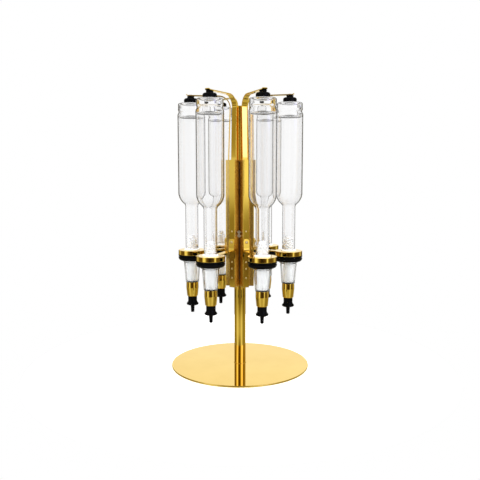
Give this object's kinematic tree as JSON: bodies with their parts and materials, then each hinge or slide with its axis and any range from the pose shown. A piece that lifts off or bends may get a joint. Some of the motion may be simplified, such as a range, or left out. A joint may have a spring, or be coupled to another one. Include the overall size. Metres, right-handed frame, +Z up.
{
  "type": "rotary spirit measure dispenser",
  "caption": "Gold rotary bottle stand that holds inverted clear bottles over push-up spirit measures, with sprung top arms and a round weighted base.",
  "frame": {"origin": "centre of the underside of the base, on the table", "axes": "+Z up along the pole; -Y is the front, midway between stations 1 and 2; stations 1 to 6 run anticlockwise from the front left, every 60 degrees, with station 3 on +X"},
  "size_m": [0.3, 0.3, 0.5874],
  "materials": {
    "polished_gold": "polished, gold plated steel",
    "black_rubber": "matt",
    "black_plastic": "satin moulded",
    "clear_glass": "clear",
    "clear_plastic": "clear, polished",
    "white_plastic": "smooth",
    "stainless": "satin",
    "nylon": "smooth",
    "sintered_bronze": "sintered"
  },
  "bodies": {
    "stand": {"base_pad": "black_rubber", "base_plate": "polished_gold", "base_screw": "stainless", "pole_foot_plug": "polished_gold", "pole": "polished_gold", "pole_cap": "polished_gold", "thrust_collar": "polished_gold"},
    "carousel": {"column_tube": "polished_gold", "column_bushes": "sintered_bronze", "rails": "polished_gold", "rail_blocks": "polished_gold", "rail_rivets": "polished_gold", "arm_guide_pads": "nylon", "brake_screws": "stainless", "ring_brackets": "polished_gold", "bracket_screws": "polished_gold", "bottle_1": "clear_glass", "bottle_2": "clear_glass", "bottle_3": "clear_glass", "bottle_4": "clear_glass", "bottle_5": "clear_glass", "bottle_6": "clear_glass", "stoppers": "white_plastic", "measure_seals": "black_rubber", "measure_collars": "black_plastic", "measure_chambers": "clear_plastic", "inner_cylinders": "white_plastic", "measure_sleeves": "polished_gold", "valve_springs": "stainless", "arm_springs": "stainless"},
    "arm_1": {"arm_strip_1": "polished_gold", "presser_cap_1": "black_rubber", "presser_stud_1": "stainless"},
    "arm_2": {"arm_strip_2": "polished_gold", "presser_cap_2": "black_rubber", "presser_stud_2": "stainless"},
    "arm_3": {"arm_strip_3": "polished_gold", "presser_cap_3": "black_rubber", "presser_stud_3": "stainless"},
    "arm_4": {"arm_strip_4": "polished_gold", "presser_cap_4": "black_rubber", "presser_stud_4": "stainless"},
    "arm_5": {"arm_strip_5": "polished_gold", "presser_cap_5": "black_rubber", "presser_stud_5": "stainless"},
    "arm_6": {"arm_strip_6": "polished_gold", "presser_cap_6": "black_rubber", "presser_stud_6": "stainless"},
    "nozzle_unit_1": {"nozzle_1": "black_plastic", "valve_rod_1": "white_plastic"},
    "nozzle_unit_2": {"nozzle_2": "black_plastic", "valve_rod_2": "white_plastic"},
    "nozzle_unit_3": {"nozzle_3": "black_plastic", "valve_rod_3": "white_plastic"},
    "nozzle_unit_4": {"nozzle_4": "black_plastic", "valve_rod_4": "white_plastic"},
    "nozzle_unit_5": {"nozzle_5": "black_plastic", "valve_rod_5": "white_plastic"},
    "nozzle_unit_6": {"nozzle_6": "black_plastic", "valve_rod_6": "white_plastic"}
  },
  "joints": [
    {"name": "carousel_spin", "type": "hinge", "parent": "stand", "child": "carousel", "pos_m": [0, 0, 0.3], "axis": [0, 0, 1], "continuous": true},
    {"name": "arm_lift_1", "type": "slide", "parent": "carousel", "child": "arm_1", "axis": [0, 0, 1], "range_m": [0, 0.045], "stiffness_N_per_m": 100, "springref_m": -0.05, "deforming": ["arm_springs"]},
    {"name": "arm_lift_2", "type": "slide", "parent": "carousel", "child": "arm_2", "axis": [0, 0, 1], "range_m": [0, 0.045], "stiffness_N_per_m": 100, "springref_m": -0.05, "deforming": ["arm_springs"]},
    {"name": "arm_lift_3", "type": "slide", "parent": "carousel", "child": "arm_3", "axis": [0, 0, 1], "range_m": [0, 0.045], "stiffness_N_per_m": 100, "springref_m": -0.05, "deforming": ["arm_springs"]},
    {"name": "arm_lift_4", "type": "slide", "parent": "carousel", "child": "arm_4", "axis": [0, 0, 1], "range_m": [0, 0.045], "stiffness_N_per_m": 100, "springref_m": -0.05, "deforming": ["arm_springs"]},
    {"name": "arm_lift_5", "type": "slide", "parent": "carousel", "child": "arm_5", "axis": [0, 0, 1], "range_m": [0, 0.045], "stiffness_N_per_m": 100, "springref_m": -0.05, "deforming": ["arm_springs"]},
    {"name": "arm_lift_6", "type": "slide", "parent": "carousel", "child": "arm_6", "axis": [0, 0, 1], "range_m": [0, 0.045], "stiffness_N_per_m": 100, "springref_m": -0.05, "deforming": ["arm_springs"]},
    {"name": "nozzle_push_1", "type": "slide", "parent": "carousel", "child": "nozzle_unit_1", "axis": [0, 0, 1], "range_m": [0, 0.008], "stiffness_N_per_m": 400, "springref_m": -0.006, "deforming": ["valve_springs"]},
    {"name": "nozzle_push_2", "type": "slide", "parent": "carousel", "child": "nozzle_unit_2", "axis": [0, 0, 1], "range_m": [0, 0.008], "stiffness_N_per_m": 400, "springref_m": -0.006, "deforming": ["valve_springs"]},
    {"name": "nozzle_push_3", "type": "slide", "parent": "carousel", "child": "nozzle_unit_3", "axis": [0, 0, 1], "range_m": [0, 0.008], "stiffness_N_per_m": 400, "springref_m": -0.006, "deforming": ["valve_springs"]},
    {"name": "nozzle_push_4", "type": "slide", "parent": "carousel", "child": "nozzle_unit_4", "axis": [0, 0, 1], "range_m": [0, 0.008], "stiffness_N_per_m": 400, "springref_m": -0.006, "deforming": ["valve_springs"]},
    {"name": "nozzle_push_5", "type": "slide", "parent": "carousel", "child": "nozzle_unit_5", "axis": [0, 0, 1], "range_m": [0, 0.008], "stiffness_N_per_m": 400, "springref_m": -0.006, "deforming": ["valve_springs"]},
    {"name": "nozzle_push_6", "type": "slide", "parent": "carousel", "child": "nozzle_unit_6", "axis": [0, 0, 1], "range_m": [0, 0.008], "stiffness_N_per_m": 400, "springref_m": -0.006, "deforming": ["valve_springs"]}
  ]
}
